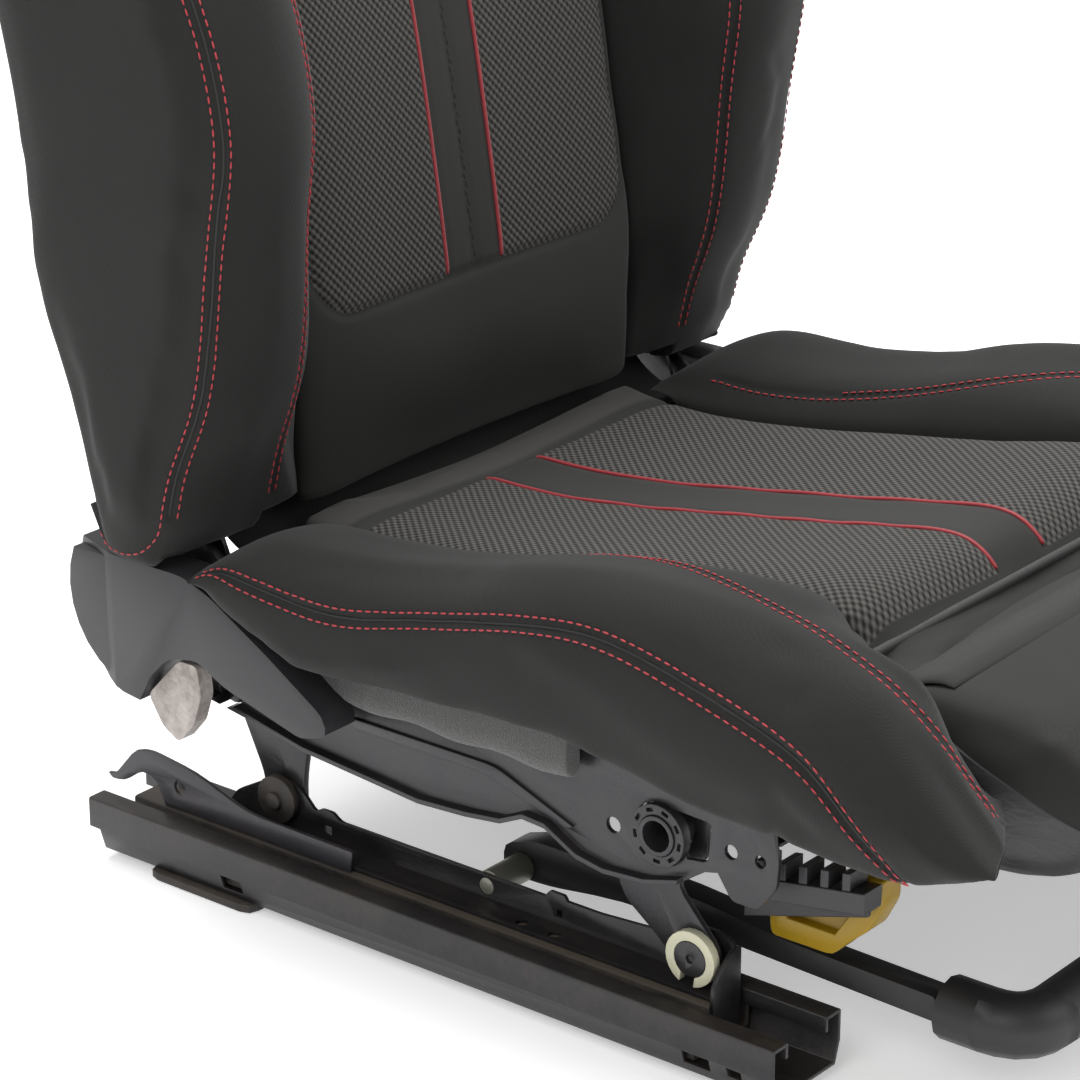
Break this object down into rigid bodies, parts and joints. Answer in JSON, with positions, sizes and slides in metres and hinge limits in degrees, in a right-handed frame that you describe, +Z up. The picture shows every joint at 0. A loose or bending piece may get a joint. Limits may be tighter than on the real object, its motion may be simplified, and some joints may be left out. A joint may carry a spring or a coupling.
{
  "type": "sports car seat",
  "caption": "Sports car front seat on slide rails, with a parallelogram height linkage, reclining bolstered backrest, sliding thigh support and head restraint.",
  "frame": {"origin": "floor level under the rail feet, at the middle of the seat's overall box in X and Y", "axes": "+X to the front of the seat, +Y to the sitter's left, +Z up"},
  "size_m": [0.805, 0.524, 1.0052],
  "materials": {
    "black_steel": "satin",
    "grey_steel": "satin",
    "dusty_steel": "matte",
    "zinc": "satin",
    "chrome": "polished",
    "nylon": "satin",
    "black_plastic": "satin",
    "yellow_plastic": "satin",
    "mesh_cloth": "matte",
    "cloth": "matte",
    "fleece": "matte"
  },
  "bodies": {
    "floor_rails": {"lower_rail_right": "black_steel", "lower_rail_left": "black_steel", "rear_foot_right": "dusty_steel", "rear_foot_left": "dusty_steel", "front_foot_right": "dusty_steel", "front_foot_left": "dusty_steel"},
    "carriage": {"upper_rail_right": "dusty_steel", "upper_rail_left": "dusty_steel", "riser_bracket_right": "black_steel", "riser_bracket_left": "black_steel", "rear_hook_right": "grey_steel", "rear_hook_left": "grey_steel", "front_pivot_bolt_right": "grey_steel", "front_pivot_bolt_left": "grey_steel", "rear_pivot_bolt_right": "dusty_steel", "rear_pivot_bolt_left": "dusty_steel", "nylon_washer_right": "nylon", "nylon_washer_left": "nylon", "release_pivot_right": "zinc", "release_pivot_left": "zinc"},
    "front_links": {"front_link_right": "grey_steel", "front_link_left": "grey_steel", "torsion_tube": "grey_steel"},
    "rear_links": {"rear_link_right": "grey_steel", "rear_link_left": "grey_steel", "rear_cross_tube": "black_steel"},
    "cushion_frame": {"side_member_right": "grey_steel", "side_member_left": "grey_steel", "tube_bush_right": "black_plastic", "tube_bush_left": "black_plastic", "recliner_right": "grey_steel", "recliner_left": "grey_steel", "seat_pan": "black_steel", "connector_housing": "yellow_plastic", "recliner_cover_right": "black_plastic", "outer_trim_left": "black_plastic", "fleece_flap": "fleece", "cushion_pad": "mesh_cloth", "cushion_bolster_right": "cloth", "cushion_bolster_left": "cloth"},
    "thigh_support": {"thigh_pad": "cloth", "thigh_tray": "black_plastic"},
    "release_bar": {"release_bar": "black_steel", "release_grip": "black_plastic"},
    "recline_lever": {"recline_lever": "black_plastic"},
    "height_lever": {"height_lever": "black_plastic"},
    "backrest": {"back_side_right": "black_steel", "back_side_left": "black_steel", "back_top_tube": "black_steel", "back_lower_cross": "black_steel", "back_bolster_right": "cloth", "back_bolster_left": "cloth", "back_pad": "mesh_cloth", "back_shell": "black_plastic", "head_guide_right": "black_plastic", "head_guide_left": "black_plastic"},
    "head_button": {"head_button": "black_plastic"},
    "headrest": {"head_posts": "chrome", "head_pad": "cloth"}
  },
  "joints": [
    {"name": "seat_slide", "type": "slide", "parent": "floor_rails", "child": "carriage", "axis": [1, 0, 0], "range_m": [-0.12, 0.1]},
    {"name": "height_links", "type": "hinge", "parent": "carriage", "child": "rear_links", "pos_m": [-0.12853, 0, 0.055], "axis": [0, 1, 0], "range_deg": [-42, 6]},
    {"name": "front_links", "type": "hinge", "parent": "carriage", "child": "front_links", "pos_m": [0.16697, 0, 0.055], "axis": [0, 1, 0], "range_deg": [-42, 6]},
    {"name": "cushion_level", "type": "hinge", "parent": "rear_links", "child": "cushion_frame", "pos_m": [-0.14103, 0, 0.126], "axis": [0, 1, 0], "range_deg": [-6, 42]},
    {"name": "recline", "type": "hinge", "parent": "cushion_frame", "child": "backrest", "pos_m": [-0.17653, 0, 0.178], "axis": [0, 1, 0], "range_deg": [-50, 10]},
    {"name": "head_height", "type": "slide", "parent": "backrest", "child": "headrest", "axis": [-0.2756, 0, 0.9613], "range_m": [0, 0.06]},
    {"name": "head_button", "type": "slide", "parent": "backrest", "child": "head_button", "axis": [0, -1, 0], "range_m": [0, 0.003], "stiffness_N_per_m": 300, "springref_m": -0.002},
    {"name": "thigh_extend", "type": "slide", "parent": "cushion_frame", "child": "thigh_support", "axis": [1, 0, 0], "range_m": [0, 0.06]},
    {"name": "release_bar", "type": "hinge", "parent": "carriage", "child": "release_bar", "pos_m": [0.01947, 0, 0.045], "axis": [0, 1, 0], "range_deg": [-8, 0], "stiffness_Nm_per_rad": 4, "springref_deg": 17.19},
    {"name": "recline_lever", "type": "hinge", "parent": "cushion_frame", "child": "recline_lever", "pos_m": [-0.17653, 0, 0.1655], "axis": [0, 1, 0], "range_deg": [-14, 0], "stiffness_Nm_per_rad": 1, "springref_deg": 17.19},
    {"name": "height_lever", "type": "hinge", "parent": "cushion_frame", "child": "height_lever", "pos_m": [-0.03253, 0, 0.13], "axis": [0, 1, 0], "range_deg": [-12, 12], "stiffness_Nm_per_rad": 4}
  ],
  "couplings": [
    {"joint": "front_links", "follows": "height_links", "ratio": 1},
    {"joint": "cushion_level", "follows": "height_links", "ratio": -1}
  ]
}
